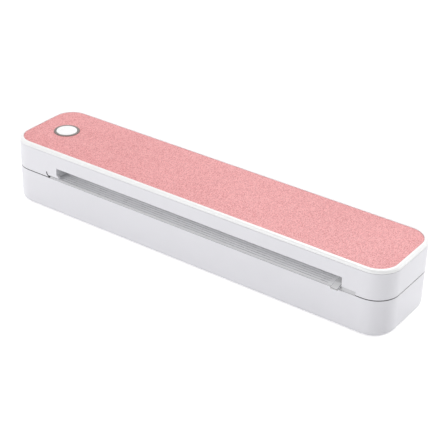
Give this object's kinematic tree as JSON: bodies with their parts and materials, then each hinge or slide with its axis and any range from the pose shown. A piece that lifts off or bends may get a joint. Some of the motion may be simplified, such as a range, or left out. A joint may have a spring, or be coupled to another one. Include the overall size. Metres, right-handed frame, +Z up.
{
  "type": "portable thermal printer",
  "caption": "Slim battery-powered sheet printer: a white rounded bar with a leather-topped hinged lid, a round button, a front paper slot with a sliding clear side guide, and a rear exit.",
  "frame": {"origin": "on the plane it stands on, under the middle of its body in plan", "axes": "+X along its length, away from the round button; +Y from the paper slot in front to the paper exit behind; +Z up"},
  "size_m": [0.3, 0.0668, 0.0487],
  "materials": {
    "white_plastic": "fine moulded satin, white",
    "white_gloss": "smooth white, slightly glossy",
    "pink_leather": "soft pink leatherette with a fine grain, matt sheen",
    "bezel_grey": "warm dark grey, satin",
    "clear_plastic": "clear moulded plastic",
    "frosted_plastic": "frosted plastic with fine moulded lines",
    "deck_plastic": "pale grey moulded plastic",
    "dark_plastic": "black moulded plastic",
    "rubber": "dark grey rubber",
    "platen_rubber": "ground black rubber roller",
    "gear_plastic": "natural acetal",
    "brass": "hobbed brass",
    "steel": "zinc-plated steel",
    "nickel": "nickel plate",
    "aluminium": "extruded aluminium",
    "ceramic": "glazed alumina ceramic, opaque",
    "circuit_board": "green solder mask on glass-fibre board",
    "component_black": "black epoxy packages",
    "battery_wrap": null,
    "wire_sleeve": "soft coloured insulation",
    "cable_film": "white flexible flat cable"
  },
  "bodies": {
    "base": {"base_shell": "white_plastic", "rubber_feet": "rubber", "paper_deck": "deck_plastic", "deck_screws": "steel", "guide_plate": "frosted_plastic", "left_frame": "steel", "right_frame": "steel", "frame_screws": "steel", "platen_bushes": "gear_plastic", "motor_housing": "steel", "gear_axle": "steel", "main_board": "circuit_board", "board_components": "component_black", "board_screws": "steel", "usb_board": "circuit_board", "usb_socket": "steel", "battery_tray": "dark_plastic", "battery_cells": "battery_wrap", "battery_contacts": "nickel", "battery_wires": "wire_sleeve", "motor_wires": "wire_sleeve", "usb_cable": "wire_sleeve", "paper_sensor": "dark_plastic", "latch_keepers": "steel"},
    "lid": {"lid_shell": "white_plastic", "top_cover": "white_gloss", "leather_panel": "pink_leather", "button_bezel": "bezel_grey", "button_board": "circuit_board", "button_switch": "dark_plastic", "button_board_screws": "steel", "upper_guide": "deck_plastic", "head_frame": "steel", "head_frame_screws": "steel", "head_springs": "steel", "head_cable": "cable_film", "latch_magnets": "nickel", "hinge_pins": "steel"},
    "button": {"button_cap": "white_gloss", "switch_plunger": "dark_plastic"},
    "print_head": {"head_sink": "aluminium", "head_pivot_pins": "steel", "head_ceramic": "ceramic", "head_board": "circuit_board", "head_connector": "gear_plastic"},
    "side_guide": {"side_guide": "clear_plastic", "guide_shoe": "deck_plastic"},
    "platen": {"platen_shaft": "steel", "platen_rubber": "platen_rubber", "platen_gear": "gear_plastic"},
    "idler": {"idler_gear": "gear_plastic"},
    "motor_rotor": {"motor_pinion": "brass", "motor_shaft": "steel"}
  },
  "joints": [
    {"name": "lid_hinge", "type": "hinge", "parent": "base", "child": "lid", "pos_m": [0, 0.0281, 0.0313], "axis": [-1, 0, 0], "range_deg": [0, 80], "deforming": ["head_cable"]},
    {"name": "button_press", "type": "slide", "parent": "lid", "child": "button", "axis": [0, 0, -1], "range_m": [0, 0.0005], "stiffness_N_per_m": 2000, "springref_m": -0.0002},
    {"name": "head_pivot", "type": "hinge", "parent": "lid", "child": "print_head", "pos_m": [0, 0.014, 0.0345], "axis": [-1, 0, 0], "range_deg": [0, 2], "stiffness_Nm_per_rad": 1, "springref_deg": -11.46, "deforming": ["head_springs"]},
    {"name": "side_guide_slide", "type": "slide", "parent": "base", "child": "side_guide", "axis": [1, 0, 0], "range_m": [-0.16, 0]},
    {"name": "platen_spin", "type": "hinge", "parent": "base", "child": "platen", "pos_m": [0, 0.002, 0.0226], "axis": [1, 0, 0], "continuous": true},
    {"name": "idler_spin", "type": "hinge", "parent": "base", "child": "idler", "pos_m": [0, -0.00506, 0.01282], "axis": [1, 0, 0], "continuous": true},
    {"name": "motor_spin", "type": "hinge", "parent": "base", "child": "motor_rotor", "pos_m": [0, -0.017, 0.0145], "axis": [1, 0, 0], "continuous": true}
  ],
  "couplings": [
    {"joint": "idler_spin", "follows": "platen_spin", "ratio": -1.8571},
    {"joint": "motor_spin", "follows": "platen_spin", "ratio": 4.3333}
  ]
}
